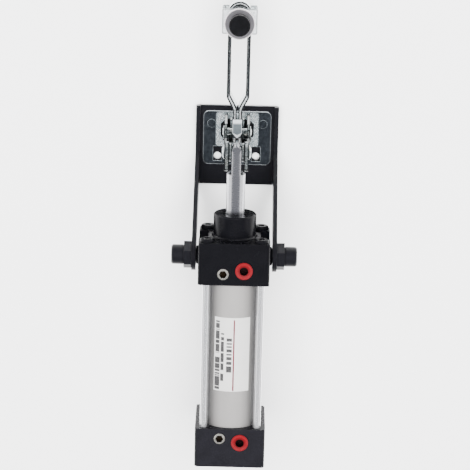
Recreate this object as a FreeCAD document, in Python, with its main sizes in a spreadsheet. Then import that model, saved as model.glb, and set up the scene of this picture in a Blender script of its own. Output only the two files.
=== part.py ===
import FreeCAD, Part
import math
import os
import Sketcher

# Pneumatic toggle clamp, in millimetres. The origin is the centre of the clamp base on the
# bracket's mounting face. +Z is up from that face, +Y runs along the closed arm towards its
# spindle, and +X is across the clamp. The clamp is closed: rod out, arm level.

DIMENSIONS = {
    # bracket and clamp base
    "bracket_width": 60.0, "bracket_sheet": 3.0, "bracket_front": 23.3, "bracket_rear": -32.6,
    "bracket_lip": 7.0, "bend_radius": 3.6, "ear_radius": 11.0,
    "base_width": 49.4, "base_depth": 39.7, "flange_sheet": 2.5, "flange_corner": 4.0,
    "platform_width": 30.6, "platform_rear": -6.2, "platform_front": 19.0, "platform_rise": 1.0,
    "opening_width": 23.6, "opening_rear": -1.5, "opening_front": 14.1, "opening_corner": 3.6,
    "bolt_hole_radius": 2.75, "rear_bolt_x": 14.0, "rear_bolt_y": -13.9,
    "slot_y": -11.7, "slot_width": 6.4, "slot_length": 10.8, "front_rivet_x": 18.7, "front_rivet_y": 10.6,
    # layers of the clamp, as distances from the middle plane
    "arm_gap": 0.6, "arm_sheet": 2.6, "lever_inner": 3.35, "plate_sheet": 2.0,
    "cheek_sheet": 3.0, "link_inner": 5.5, "link_sheet": 1.4, "upright_inner": 7.05,
    # pivots of the clamp, closed
    "arm_pivot_y": 10.2, "arm_pivot_z": 31.4, "lever_pivot_y": 13.5, "lever_pivot_z": 23.1,
    "link_base_y": 4.4, "link_base_z": 20.5, "link_lever_y": -3.5, "link_lever_z": 15.2,
    "rod_pin_y": 2.5, "axis_height": 65.0, "pivot_radius": 2.5, "rod_pin_radius": 3.0,
    "running_gap": 0.05,
    # arm, its stop and the spindle
    "arm_bottom": 32.0, "arm_top": 48.0, "arm_half_width": 8.0, "bend_start": 28.0,
    "bend_end": 37.0, "arm_bend_radius": 5.0, "arm_tip": 105.0,
    "saddle_front": 22.2, "saddle_corner": 12.6, "saddle_tip": 9.0,
    "saddle_sheet": 1.6, "boss_front": 19.8, "boss_corner": 13.1, "boss_tip": 11.4, "boss_rise": 1.4,
    "spindle_y": 91.5, "spindle_radius": 5.0, "spindle_bottom": 14.0, "nut_flats": 16.5,
    "nut_height": 8.0, "washer_sheet": 1.6, "washer_radius": 14.6, "washer_half_width": 12.2,
    "wing_drop": 5.0, "pad_radius": 7.3, "pad_top": 71.5, "pad_height": 8.0, "pad_edge": 0.4,
    "collar_radius": 10.6, "collar_height": 4.0,
    # cylinder
    "trunnion_y": -72.0, "cap_side": 50.0, "head_length": 30.0, "gland_radius": 15.0,
    "gland_length": 16.0, "barrel_length": 106.5, "barrel_radius": 22.0, "bore_radius": 20.0,
    "rear_length": 29.0, "tie_pitch": 38.0, "tie_radius": 2.7, "port_radius": 4.6,
    "port_x": 7.1, "needle_x": -7.4, "port_from_face": 19.2, "needle_from_face": 22.1,
    "rear_port_from_face": 9.9, "rear_needle_from_face": 7.4, "plug_radius": 6.1,
    "plug_sink": 6.0, "needle_radius": 4.2, "needle_socket": 5.0,
    "trunnion_radius": 5.0, "trunnion_head": 7.0,
    "trunnion_end": 44.3, "trunnion_nut": 5.3, "label_half_width": 12.3, "label_length": 54.5,
    # rod and piston
    "rod_radius": 6.5, "shoulder_y": -12.7, "spigot_length": 6.0, "tongue_half": 3.15,
    "eye_radius": 5.8, "eye_lift": 2.9, "piston_length": 22.0,
}


class Size:
    """A length that keeps its number together with the sheet formula that it comes from."""

    def __init__(self, value, formula):
        self.value = value
        self.formula = formula

    def __add__(self, other):
        other = as_size(other)
        return Size(self.value + other.value, f"({self.formula} + {other.formula})")

    def __sub__(self, other):
        other = as_size(other)
        return Size(self.value - other.value, f"({self.formula} - {other.formula})")

    def __mul__(self, other):
        other = as_size(other)
        return Size(self.value * other.value, f"({self.formula} * {other.formula})")

    def __truediv__(self, other):
        other = as_size(other)
        return Size(self.value / other.value, f"({self.formula} / {other.formula})")

    def __neg__(self):
        return Size(-self.value, f"(0 - {self.formula})")

    __radd__ = __add__
    __rmul__ = __mul__

    def __rsub__(self, other):
        return as_size(other) - self


def as_size(number):
    """Turns a plain number into a Size."""
    return number if isinstance(number, Size) else Size(float(number), f"({float(number)})")


class Dimensions:
    """The sheet's cells, read by name as Sizes."""

    def __getattr__(self, name):
        return Size(DIMENSIONS[name], f"Dims.{name}")


doc = FreeCAD.newDocument("toggle_clamp")
dims = Dimensions()
sub_parts = []
ALONG_X = FreeCAD.Rotation(FreeCAD.Vector(0, 1, 0), 90)
ALONG_Y = FreeCAD.Rotation(FreeCAD.Vector(1, 0, 0), -90)
ALONG_Z = FreeCAD.Rotation()
SIDES = (("left", -1), ("right", 1))


def write_sheet():
    """Writes each driving dimension as a named cell."""
    sheet = doc.addObject("Spreadsheet::Sheet", "Dims")
    for row, (name, value) in enumerate(DIMENSIONS.items(), start=1):
        sheet.set(f"A{row}", name)
        sheet.set(f"B{row}", str(value))
        sheet.setAlias(f"B{row}", name)
    doc.recompute()


def bind(item, prop, size):
    """Binds a property to a sheet formula."""
    item.setExpression(prop, as_size(size).formula)


def place(item, at, turn=ALONG_Z):
    """Turns an object, then binds its position."""
    item.Placement = FreeCAD.Placement(FreeCAD.Vector(), turn)
    for axis, size in zip("xyz", at):
        bind(item, f"Placement.Base.{axis}", size)


def box(low, high):
    """A box between two corners."""
    item = doc.addObject("Part::Box", "box")
    for prop, start, end in zip(("Length", "Width", "Height"), low, high):
        bind(item, prop, as_size(end) - start)
    place(item, low)
    return item


def rod(radius, length, at, turn=ALONG_Z):
    """A round bar that starts at a point and runs along the turned Z axis."""
    item = doc.addObject("Part::Cylinder", "rod")
    bind(item, "Radius", radius)
    bind(item, "Height", length)
    place(item, at, turn)
    return item


def cone(start_radius, end_radius, length, at, turn=ALONG_Z):
    """A tapered bar along the turned Z axis."""
    item = doc.addObject("Part::Cone", "cone")
    bind(item, "Radius1", start_radius)
    bind(item, "Radius2", end_radius)
    bind(item, "Height", length)
    place(item, at, turn)
    return item


def fuse(*items):
    """Joins solids into one."""
    item = doc.addObject("Part::MultiFuse", "fuse")
    item.Shapes = list(items)
    item.Refine = True
    return item


def cut(base, *tools):
    """Takes one or more solids away from another."""
    item = doc.addObject("Part::Cut", "cut")
    item.Base = base
    item.Tool = tools[0] if len(tools) == 1 else fuse(*tools)
    item.Refine = True
    return item


def common(first, second):
    """Keeps what two solids share."""
    item = doc.addObject("Part::Common", "common")
    item.Base = first
    item.Tool = second
    return item


def group(*items):
    """Keeps separate solids together as one sub-part."""
    item = doc.addObject("Part::Compound", "group")
    item.Links = list(items)
    return item


def name_part(name, item):
    """Labels a finished sub-part, which is then written to its own file."""
    item.Label = name
    sub_parts.append(item)
    return item


def origin_plane(body, role):
    """A body's own origin plane or axis."""
    return next(item for item in body.Origin.OriginFeatures if item.Role == role)


def outline(body, plane, corners, offset=0.0):
    """A closed sketch through corners. A corner may name the side, left or right of its way to
    the next corner, on which a half circle joins the two."""
    sketch = body.newObject("Sketcher::SketchObject", "outline")
    sketch.AttachmentSupport = [(origin_plane(body, plane), "")]
    sketch.MapMode = "FlatFace"
    bind(sketch, "AttachmentOffset.Base.z", offset)
    points = [FreeCAD.Vector(as_size(c[0]).value, as_size(c[1]).value) for c in corners]
    for index, corner in enumerate(corners):
        start = points[index]
        end = points[(index + 1) % len(points)]
        if len(corner) == 3:
            sketch.addGeometry(half_circle(start, end, corner[2]), False)
        else:
            sketch.addGeometry(Part.LineSegment(start, end), False)
    join_corners(sketch, corners, points)
    return sketch


def half_circle(start, end, side):
    """Half a circle between two points, which bulges to one side of the way from start to end.
    It is drawn anticlockwise, as a sketch stores it."""
    first, last = (start, end) if side == "right" else (end, start)
    chord = last - first
    away = FreeCAD.Vector(chord.y, -chord.x) * 0.5
    return Part.Arc(first, first + chord * 0.5 + away, last)


def join_corners(sketch, corners, points):
    """Ties each edge's ends to the corners, whose places come from the sheet."""
    for index, corner in enumerate(corners):
        edge_start, edge_end = edge_ends(sketch, index, points)
        following = (index + 1) % len(corners)
        next_start = edge_ends(sketch, following, points)[0]
        sketch.addConstraint(Sketcher.Constraint("Coincident", index, edge_end, following, next_start))
        for kind, axis in (("DistanceX", 0), ("DistanceY", 1)):
            size = as_size(corner[axis])
            number = sketch.addConstraint(
                Sketcher.Constraint(kind, -1, 1, index, edge_start, size.value))
            bind(sketch, f"Constraints[{number}]", size)
    for index, corner in enumerate(corners):
        if len(corner) == 3:
            chord = points[(index + 1) % len(points)] - points[index]
            kind, axis = ("DistanceX", 0) if abs(chord.y) > abs(chord.x) else ("DistanceY", 1)
            centre = (as_size(corner[axis]) + corners[(index + 1) % len(corners)][axis]) / 2
            number = sketch.addConstraint(Sketcher.Constraint(kind, -1, 1, index, 3, centre.value))
            bind(sketch, f"Constraints[{number}]", centre)


def edge_ends(sketch, index, points):
    """Which end of an edge is its start: an arc is always stored anticlockwise."""
    edge = sketch.Geometry[index]
    if (edge.StartPoint - points[index]).Length < 1e-6:
        return 1, 2
    return 2, 1


def padded(name, plane, corners, start, thickness):
    """A body made by padding one outline, from a start along the plane's normal."""
    body = doc.addObject("PartDesign::Body", name)
    sketch = outline(body, plane, corners, start)
    pad = body.newObject("PartDesign::Pad", "pad")
    pad.Profile = sketch
    bind(pad, "Length", thickness)
    return body


def turned(name, profile, at, turn=ALONG_Z):
    """A body turned about its own Z axis from (radius, height) corners, then placed."""
    body = doc.addObject("PartDesign::Body", name)
    sketch = outline(body, "XZ_Plane", profile)
    spin = body.newObject("PartDesign::Revolution", "spin")
    spin.Profile = sketch
    spin.ReferenceAxis = (sketch, ["V_Axis"])
    spin.Angle = 360.0
    place(body, at, turn)
    return body


def ring(inner, outer, height):
    """The (radius, height) corners of a plain ring."""
    return [(inner, 0), (outer, 0), (outer, height), (inner, height)]


def hexagon(flats):
    """The corners of a hexagon, measured across its flats."""
    reach = flats / math.sqrt(3.0)
    turns = [math.radians(60 * step) for step in range(6)]
    return [(reach * math.cos(turn), reach * math.sin(turn)) for turn in turns]


def round_edges(body, radius, wanted):
    """Fillets the edges that the wanted test picks."""
    doc.recompute()
    sharp = body.Tip
    names = [f"Edge{n}" for n, edge in enumerate(sharp.Shape.Edges, start=1) if wanted(edge)]
    fillet = body.newObject("PartDesign::Fillet", "fillet")
    fillet.Base = (sharp, names)
    bind(fillet, "Radius", radius)
    body.Tip = fillet


def upright_edge(edge):
    """True for a straight edge that runs along Z."""
    ends = [vertex.Point for vertex in edge.Vertexes]
    if len(ends) != 2:
        return False
    return abs(ends[0].x - ends[1].x) < 1e-6 and abs(ends[0].y - ends[1].y) < 1e-6


def lies_level(edge, z):
    """True for an edge that lies level at height z."""
    return abs(edge.BoundBox.ZMin - z) < 1e-3 and abs(edge.BoundBox.ZMax - z) < 1e-3


def outward(side):
    """Turns a body's own Z axis to point away from the middle plane."""
    return FreeCAD.Rotation(FreeCAD.Vector(0, 1, 0), 90 * side)


def plate_bar(start, end, half_width, inner, sheet):
    """A straight bar of plate from one pivot to another, in a layer along X."""
    rise = end[1] - start[1]
    run = end[0] - start[0]
    angle = Size(math.degrees(math.atan2(rise.value, run.value)), f"atan2({rise.formula}; {run.formula})")
    turn = math.radians(angle.value)
    sine = Size(math.sin(turn), f"sin({angle.formula})")
    cosine = Size(math.cos(turn), f"cos({angle.formula})")
    length = Size(math.hypot(rise.value, run.value), f"hypot({rise.formula}; {run.formula})")
    item = doc.addObject("Part::Box", "bar")
    bind(item, "Length", sheet)
    bind(item, "Width", length)
    bind(item, "Height", half_width * 2)
    place(item, (inner, start[0] + sine * half_width, start[1] - cosine * half_width),
          FreeCAD.Rotation(FreeCAD.Vector(1, 0, 0), angle.value))
    bind(item, "Placement.Rotation.Angle", angle)
    return item


def plate(path, inner, sheet, half_width):
    """A flat link through pivots: a disc on each (y, z, boss radius), joined by straight bars."""
    pieces = [rod(spot[2], sheet, (inner, spot[0], spot[1]), ALONG_X) for spot in path]
    for start, end in zip(path, path[1:]):
        pieces.append(plate_bar(start, end, as_size(half_width), inner, sheet))
    return fuse(*pieces)


def hole(spot, radius, inner, sheet):
    """A round cutter across a plate in a layer along X."""
    return rod(radius, sheet + 1, (inner - 0.5, spot[0], spot[1]), ALONG_X)


def layer_start(side, inner, sheet):
    """Where a layer starts along X, on the left or the right of the middle plane."""
    return as_size(inner) if side > 0 else -(as_size(inner) + sheet)


ARM_PIVOT = (dims.arm_pivot_y, dims.arm_pivot_z)
LEVER_PIVOT = (dims.lever_pivot_y, dims.lever_pivot_z)
LINK_BASE = (dims.link_base_y, dims.link_base_z)
LINK_LEVER = (dims.link_lever_y, dims.link_lever_z)
ROD_PIN = (dims.rod_pin_y, dims.axis_height)
LINK_SLACK = (dims.link_lever_y + 1.37, dims.link_lever_z + 0.2)
FLANGE_TOP = dims.bracket_sheet + dims.flange_sheet
PLATFORM_TOP = FLANGE_TOP + dims.platform_rise
UPRIGHT_OUTER = dims.upright_inner + dims.plate_sheet
ARM_ROOT = dims.arm_gap + dims.arm_sheet
LEVER_OUTER = dims.lever_inner + dims.plate_sheet
HEAD_FACE = dims.trunnion_y + dims.head_length / 2
BARREL_FRONT = HEAD_FACE - dims.head_length
BARREL_REAR = BARREL_FRONT - dims.barrel_length
REAR_END = BARREL_REAR - dims.rear_length
CAP_TOP = dims.axis_height + dims.cap_side / 2
FRONT_SEAL = BARREL_FRONT - 4
REAR_SEAL = BARREL_REAR + 2
SEAL_FLOOR = dims.bore_radius - 2
SEAL_WIDTH = as_size(2.0)
SUNK_NUT_RADIUS = as_size(4.8)
SUNK_NUT_DEPTH = as_size(6.0)


# ---- bracket and clamp base

def make_bracket():
    """A U of sheet steel: a web under the clamp and two ears that carry the cylinder."""
    half = dims.bracket_width / 2
    reach_y = dims.ear_radius * 0.8
    reach_z = dims.ear_radius * 0.6
    side_view = [
        (dims.bracket_rear, 0), (dims.bracket_front, 0), (dims.bracket_front, dims.bracket_lip),
        (dims.bracket_rear + 22.9, dims.bracket_lip),
        (dims.trunnion_y + reach_y, dims.axis_height + reach_z, "right"),
        (dims.trunnion_y - reach_y, dims.axis_height - reach_z),
    ]
    blank = padded("bracket_blank", "YZ_Plane", side_view, -half, dims.bracket_width)
    round_edges(blank, dims.bend_radius, lambda edge: along_y_edge(edge) and edge.BoundBox.ZMax < 0.01)
    inside = box((dims.bracket_sheet - half, dims.trunnion_y - 20, dims.bracket_sheet),
                 (half - dims.bracket_sheet, dims.bracket_front + 1, dims.axis_height + 20))
    trunnion_hole = rod(dims.trunnion_radius + dims.running_gap, dims.bracket_width + 2,
                        (-half - 1, dims.trunnion_y, dims.axis_height), ALONG_X)
    through = dims.bracket_sheet + 2
    holes = []
    for _, side in SIDES:
        holes.append(rod(dims.bolt_hole_radius, through, (dims.rear_bolt_x * side, dims.rear_bolt_y, -1)))
        holes.append(rod(dims.pivot_radius, through, (dims.front_rivet_x * side, dims.front_rivet_y, -1)))
    name_part("bracket", cut(blank, inside, trunnion_hole, *holes))


def make_base_flange():
    """The stamped base: a flange with a raised platform, an opening and two rear slots."""
    half = dims.base_width / 2
    depth = dims.base_depth / 2
    flange = padded("flange_blank", "XY_Plane",
                    [(-half, -depth), (half, -depth), (half, depth), (-half, depth)],
                    dims.bracket_sheet, dims.flange_sheet)
    round_edges(flange, dims.flange_corner, upright_edge)
    round_edges(flange, as_size(0.8), lambda edge: lies_level(edge, FLANGE_TOP.value))
    wide = dims.platform_width / 2
    platform = padded("platform_blank", "XY_Plane",
                      [(-wide, dims.platform_rear), (wide, dims.platform_rear),
                       (wide, dims.platform_front), (-wide, dims.platform_front)],
                      FLANGE_TOP - 1, dims.platform_rise + 1)
    round_edges(platform, as_size(2.0), upright_edge)
    reach = dims.opening_width / 2
    narrow = reach - dims.opening_corner
    rear = dims.opening_rear
    front = dims.opening_front
    corner = dims.opening_corner
    cutters = [padded("opening_cutter", "XY_Plane", [
        (-narrow, rear), (narrow, rear), (reach, rear + corner), (reach, front - corner),
        (narrow, front), (-narrow, front), (-reach, front - corner), (-reach, rear + corner)], 0, 12.0)]
    slot_wide = dims.slot_width / 2
    slot_long = dims.slot_length / 2
    for _, side in SIDES:
        middle = dims.rear_bolt_x * side
        cutters.append(box((middle - slot_wide, dims.slot_y - slot_long, 0),
                           (middle + slot_wide, dims.slot_y + slot_long, 12)))
        cutters.append(rod(dims.pivot_radius, 12, (dims.front_rivet_x * side, dims.front_rivet_y, 0)))
    name_part("base_flange", cut(fuse(flange, platform), *cutters))


def make_base_uprights():
    """Two side plates that stand on the platform and hold the fixed pivots."""
    side_view = [
        (dims.platform_rear + 0.5, PLATFORM_TOP), (dims.platform_front - 0.5, PLATFORM_TOP),
        (dims.platform_front - 0.5, PLATFORM_TOP + 8), (dims.arm_pivot_y + 6.0, dims.arm_pivot_z + 3),
        (dims.arm_pivot_y + 2.5, dims.arm_pivot_z + 6.5), (dims.arm_pivot_y - 3.5, dims.arm_pivot_z + 6.5),
        (dims.link_base_y - 6.5, dims.link_base_z + 5), (dims.platform_rear + 0.5, PLATFORM_TOP + 6),
    ]
    for word, side in SIDES:
        start = layer_start(side, dims.upright_inner, dims.plate_sheet)
        blank = padded(f"upright_blank_{word}", "YZ_Plane", side_view, start, dims.plate_sheet)
        holes = [hole(spot, dims.pivot_radius, start, dims.plate_sheet) for spot in (ARM_PIVOT, LINK_BASE)]
        name_part(f"base_upright_{word}", cut(blank, *holes))


def headed_pin(name, spot, reach, radius, head_radius, head_height):
    """A pin across the clamp with a low domed head at each end."""
    profile = [(0, -(reach + head_height)), (head_radius * 0.6, -(reach + head_height)),
               (head_radius, -reach - head_height * 0.4), (head_radius, -reach), (radius, -reach),
               (radius, reach), (head_radius, reach), (head_radius, reach + head_height * 0.4),
               (head_radius * 0.6, reach + head_height), (0, reach + head_height)]
    return turned(name, profile, (0, spot[0], spot[1]), ALONG_X)


def make_fixed_pins():
    """The arm's pivot pin, the two studs of the links and the rivets of the base."""
    arm_pin = headed_pin("arm_pin", ARM_PIVOT, UPRIGHT_OUTER, dims.pivot_radius, 4.2, 1.3)
    name_part("arm_pivot_pin", arm_pin)
    studs = []
    rivets = []
    grip = UPRIGHT_OUTER - dims.link_inner
    stud = [(0, 0), (dims.pivot_radius, 0), (dims.pivot_radius, grip), (4.0, grip),
            (4.0, grip + 0.6), (2.4, grip + 1.2), (0, grip + 1.2)]
    rivet = [(0, 0), (dims.pivot_radius, 0), (dims.pivot_radius, FLANGE_TOP), (3.3, FLANGE_TOP),
             (3.1, FLANGE_TOP + 0.4), (2.4, FLANGE_TOP + 0.7), (1.3, FLANGE_TOP + 0.9), (0, FLANGE_TOP + 1.0)]
    for _, side in SIDES:
        studs.append(turned("link_stud", stud, (dims.link_inner * side, *LINK_BASE), outward(side)))
        rivets.append(turned("base_rivet", rivet, (dims.front_rivet_x * side, dims.front_rivet_y, 0)))
    name_part("link_studs", group(*studs))
    name_part("base_rivets", group(*rivets))


# ---- arm

def make_arm():
    """A U-shaped bar of flat steel on edge, whose two legs meet the root plates side by side."""
    inner = dims.arm_gap
    outer = ARM_ROOT
    wide = dims.arm_half_width
    slot = wide - dims.arm_sheet
    turn_y = dims.arm_tip - wide
    root_y = dims.arm_pivot_y
    bend_shift = dims.arm_sheet * 0.3
    outer_start = dims.bend_start + bend_shift
    outer_end = dims.bend_end + bend_shift
    inner_start = dims.bend_start + dims.arm_sheet
    inner_end = dims.bend_end + dims.arm_sheet
    plan = [
        (inner, root_y), (outer, root_y), (outer, outer_start), (wide, outer_end),
        (wide, turn_y, "right"), (-wide, turn_y), (-wide, outer_end), (-outer, outer_start),
        (-outer, root_y), (-inner, root_y), (-inner, inner_start), (-slot, inner_end),
        (-slot, turn_y, "left"), (slot, turn_y), (slot, inner_end), (inner, inner_start),
    ]
    bar = padded("arm_bar", "XY_Plane", plan, dims.arm_bottom, dims.arm_top - dims.arm_bottom)
    bend_zone = (outer_start.value - 1, inner_end.value + 1)
    round_edges(bar, dims.arm_bend_radius,
                lambda edge: upright_edge(edge) and bend_zone[0] < edge.BoundBox.YMin < bend_zone[1])
    roots = []
    holes = []
    for _, side in SIDES:
        start = layer_start(side, inner, dims.arm_sheet)
        side_view = [
            (dims.arm_pivot_y - 6.2, dims.arm_pivot_z), (dims.arm_pivot_y - 3.0, dims.arm_pivot_z - 8),
            (dims.lever_pivot_y - 4.2, dims.lever_pivot_z - 3.8),
            (dims.lever_pivot_y, dims.lever_pivot_z - 5.5),
            (dims.lever_pivot_y + 4.2, dims.lever_pivot_z - 3.8), (dims.lever_pivot_y + 8, dims.arm_bottom),
            (dims.lever_pivot_y + 10, dims.arm_bottom + 2), (dims.lever_pivot_y + 10, dims.arm_top),
            (dims.arm_pivot_y - 1, dims.arm_top), (dims.arm_pivot_y - 6.2, dims.arm_top - 7),
        ]
        roots.append(padded("arm_root", "YZ_Plane", side_view, start, dims.arm_sheet))
        holes.append(hole(ARM_PIVOT, dims.pivot_radius + dims.running_gap, start, dims.arm_sheet))
        holes.append(hole(LEVER_PIVOT, dims.pivot_radius, start, dims.arm_sheet))
    name_part("arm", cut(fuse(bar, *roots), *holes))


def pointed_block(name, tip, corner, front, height):
    """A five-sided block on the arm's root, whose point looks back along the arm."""
    plan = [(-ARM_ROOT, corner), (0, tip), (ARM_ROOT, corner), (ARM_ROOT, front), (-ARM_ROOT, front)]
    return padded(name, "XY_Plane", plan, dims.arm_top, height)


def make_arm_stop():
    """The stop on top of the arm's root: a saddle plate with a shorter boss on it."""
    boss_height = dims.saddle_sheet + dims.boss_rise
    saddle = pointed_block("saddle", dims.saddle_tip, dims.saddle_corner,
                           dims.saddle_front, dims.saddle_sheet)
    boss = pointed_block("boss", dims.boss_tip, dims.boss_corner, dims.boss_front, boss_height)
    name_part("arm_stop", fuse(saddle, boss))


def make_lever_pivot():
    """The pin that joins the arm's root to the lever, flush with the lever's plates."""
    name_part("lever_pivot_pin",
              rod(dims.pivot_radius, LEVER_OUTER * 2, (-LEVER_OUTER, *LEVER_PIVOT), ALONG_X))


# ---- lever and links

def make_lever():
    """Two bent lever plates with a thick cheek outside each at the rod's end."""
    path = [LEVER_PIVOT + (as_size(5.0),), LINK_LEVER + (as_size(5.0),), ROD_PIN + (as_size(6.5),)]
    for word, side in SIDES:
        start = layer_start(side, dims.lever_inner, dims.plate_sheet)
        blank = plate(path, start, dims.plate_sheet, 4.2)
        holes = [hole(LEVER_PIVOT, dims.pivot_radius + dims.running_gap, start, dims.plate_sheet),
                 hole(LINK_LEVER, dims.pivot_radius, start, dims.plate_sheet),
                 hole(ROD_PIN, dims.rod_pin_radius, start, dims.plate_sheet)]
        name_part(f"lever_{word}", cut(blank, *holes))
        cheek_start = layer_start(side, LEVER_OUTER, dims.cheek_sheet)
        front = (dims.rod_pin_y + 1.5, dims.axis_height, as_size(6.0))
        rear = (dims.rod_pin_y - 8.3, dims.axis_height, as_size(5.2))
        cheek = plate([rear, front], cheek_start, dims.cheek_sheet, 5.2)
        cheek_hole = hole(ROD_PIN, dims.rod_pin_radius, cheek_start, dims.cheek_sheet)
        name_part(f"lever_cheek_{word}", cut(cheek, cheek_hole))
    reach = LEVER_OUTER + dims.cheek_sheet
    name_part("rod_pin", headed_pin("rod_pin_body", ROD_PIN, reach, dims.rod_pin_radius, 5.0, 1.8))
    rivets = []
    for _, side in SIDES:
        length = dims.link_inner + dims.link_sheet - dims.lever_inner
        start = layer_start(side, dims.lever_inner, length)
        rivets.append(rod(dims.pivot_radius, length, (start, *LINK_LEVER), ALONG_X))
    name_part("link_rivets", group(*rivets))


def make_links():
    """Two short links. Their lever ends have an oversize hole, where the linkage is opened."""
    for word, side in SIDES:
        start = layer_start(side, dims.link_inner, dims.link_sheet)
        ends = [LINK_BASE + (as_size(5.0),), LINK_LEVER + (as_size(5.7),)]
        blank = plate(ends, start, dims.link_sheet, 5.0)
        holes = [hole(LINK_BASE, dims.pivot_radius + dims.running_gap, start, dims.link_sheet),
                 hole(LINK_SLACK, dims.pivot_radius + 1.45, start, dims.link_sheet)]
        name_part(f"link_{word}", cut(blank, *holes))


# ---- spindle

def make_spindle():
    """A threaded spindle with its turned collar and rubber pad, above the arm."""
    pad_bottom = dims.pad_top - dims.pad_height
    collar_bottom = pad_bottom - dims.collar_height
    thread = [(0, dims.spindle_bottom), (dims.spindle_radius - 1, dims.spindle_bottom),
              (dims.spindle_radius, dims.spindle_bottom + 1), (dims.spindle_radius, pad_bottom),
              (2.5, pad_bottom), (2.5, pad_bottom + 4), (0, pad_bottom + 4)]
    name_part("spindle_screw", turned("screw_body", thread, (0, dims.spindle_y, 0)))
    collar = [(dims.spindle_radius, 0), (dims.collar_radius - 0.6, 0), (dims.collar_radius, 0.6),
              (dims.collar_radius, dims.collar_height - 0.6), (dims.collar_radius - 0.6, dims.collar_height),
              (dims.spindle_radius, dims.collar_height)]
    name_part("spindle_collar", turned("collar_body", collar, (0, dims.spindle_y, collar_bottom)))
    top = dims.pad_height
    edge = dims.pad_edge
    pad = [(0, 4), (2.5, 4), (2.5, 0), (dims.pad_radius, 0), (dims.pad_radius, top - edge),
           (dims.pad_radius - edge, top), (0, top)]
    name_part("spindle_pad", turned("pad_body", pad, (0, dims.spindle_y, pad_bottom)))


def hex_nut(name, at_z):
    """A chamfered hexagon nut around the spindle, with two of its flats along the arm."""
    corners = [(x, y + dims.spindle_y) for y, x in hexagon(dims.nut_flats)]
    prism = padded(f"{name}_prism", "XY_Plane", corners, at_z, dims.nut_height)
    bore = dims.spindle_radius + dims.running_gap
    flat = dims.nut_flats / 2 - 0.3
    full = dims.nut_flats / math.sqrt(3.0) + 0.1
    height = dims.nut_height
    profile = [(bore, 0), (flat, 0), (full, 0.9), (full, height - 0.9), (flat, height), (bore, height)]
    bevel = turned(f"{name}_bevel", profile, (0, dims.spindle_y, at_z))
    name_part(name, common(prism, bevel))


def flanged_washer(name, at_z, drop):
    """A round washer cut to a strip, with a wing bent down by drop, or up if drop is negative,
    over each leg of the arm."""
    sheet = dims.washer_sheet
    wide = dims.washer_half_width
    disc = rod(dims.washer_radius, sheet, (0, dims.spindle_y, at_z))
    strip = box((-wide, dims.spindle_y - 8.8, at_z), (wide, dims.spindle_y + 8.8, at_z + sheet))
    pieces = [common(disc, strip)]
    low = at_z - drop if drop.value > 0 else at_z
    high = at_z + sheet if drop.value > 0 else at_z + sheet - drop
    for _, side in SIDES:
        start = layer_start(side, wide - sheet, sheet)
        pieces.append(box((start, dims.spindle_y - 8.2, low), (start + sheet, dims.spindle_y + 8.2, high)))
    bore = rod(dims.spindle_radius + dims.running_gap, sheet + 2, (0, dims.spindle_y, at_z - 1))
    name_part(name, cut(fuse(*pieces), bore))


def make_spindle_clamp():
    """The nuts and flanged washers that clamp the spindle to the arm's slot."""
    flanged_washer("washer_upper", dims.arm_top, dims.wing_drop)
    hex_nut("nut_upper", dims.arm_top + dims.washer_sheet)
    flanged_washer("washer_lower", dims.arm_bottom - dims.washer_sheet, -dims.wing_drop)
    hex_nut("nut_lower", dims.arm_bottom - dims.washer_sheet - dims.nut_height)


# ---- cylinder

def tie_places():
    """The four tie rods' places across the cylinder's axis."""
    half = dims.tie_pitch / 2
    return [(half * x_side, dims.axis_height + half * z_side) for x_side in (-1, 1) for z_side in (-1, 1)]


def along_y(radius, front, rear, x=0, z=None):
    """A round bar along Y, from its rear end to its front end."""
    height = dims.axis_height if z is None else z
    return rod(radius, front - rear, (x, rear, height), ALONG_Y)


def cap_block(front, rear):
    """A square cap with rounded long edges."""
    half = dims.cap_side / 2
    corners = [(-half, dims.axis_height - half), (half, dims.axis_height - half),
               (half, dims.axis_height + half), (-half, dims.axis_height + half)]
    body = padded("cap_blank", "XZ_Plane", corners, -front, front - rear)
    round_edges(body, as_size(2.5), along_y_edge)
    outer_face = front.value if front.value > BARREL_FRONT.value else rear.value
    round_edges(body, as_size(0.8), lambda edge: lies_across(edge, outer_face))
    return body


def lies_across(edge, y):
    """True for an edge that lies in the plane across the cylinder at y."""
    return abs(edge.BoundBox.YMin - y) < 1e-3 and abs(edge.BoundBox.YMax - y) < 1e-3


def along_y_edge(edge):
    """True for a straight edge that runs along Y."""
    ends = [vertex.Point for vertex in edge.Vertexes]
    if len(ends) != 2:
        return False
    return abs(ends[0].x - ends[1].x) < 1e-6 and abs(ends[0].z - ends[1].z) < 1e-6


def top_bores(port_y, needle_y):
    """The threaded port and the cushion needle's hole, both sunk from a cap's top face."""
    return [rod(dims.port_radius, 13, (dims.port_x, port_y, CAP_TOP - 12)),
            rod(2.0, 14, (dims.port_x, port_y, CAP_TOP - 25)),
            rod(dims.needle_radius, 9, (dims.needle_x, needle_y, CAP_TOP - 8))]


def seal_groove(rear):
    """A ring-shaped cutter for the O-ring groove in a cap's spigot."""
    profile = ring(SEAL_FLOOR, dims.bore_radius + 1, SEAL_WIDTH)
    return turned("seal_groove", profile, (0, rear, dims.axis_height), ALONG_Y)


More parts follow.
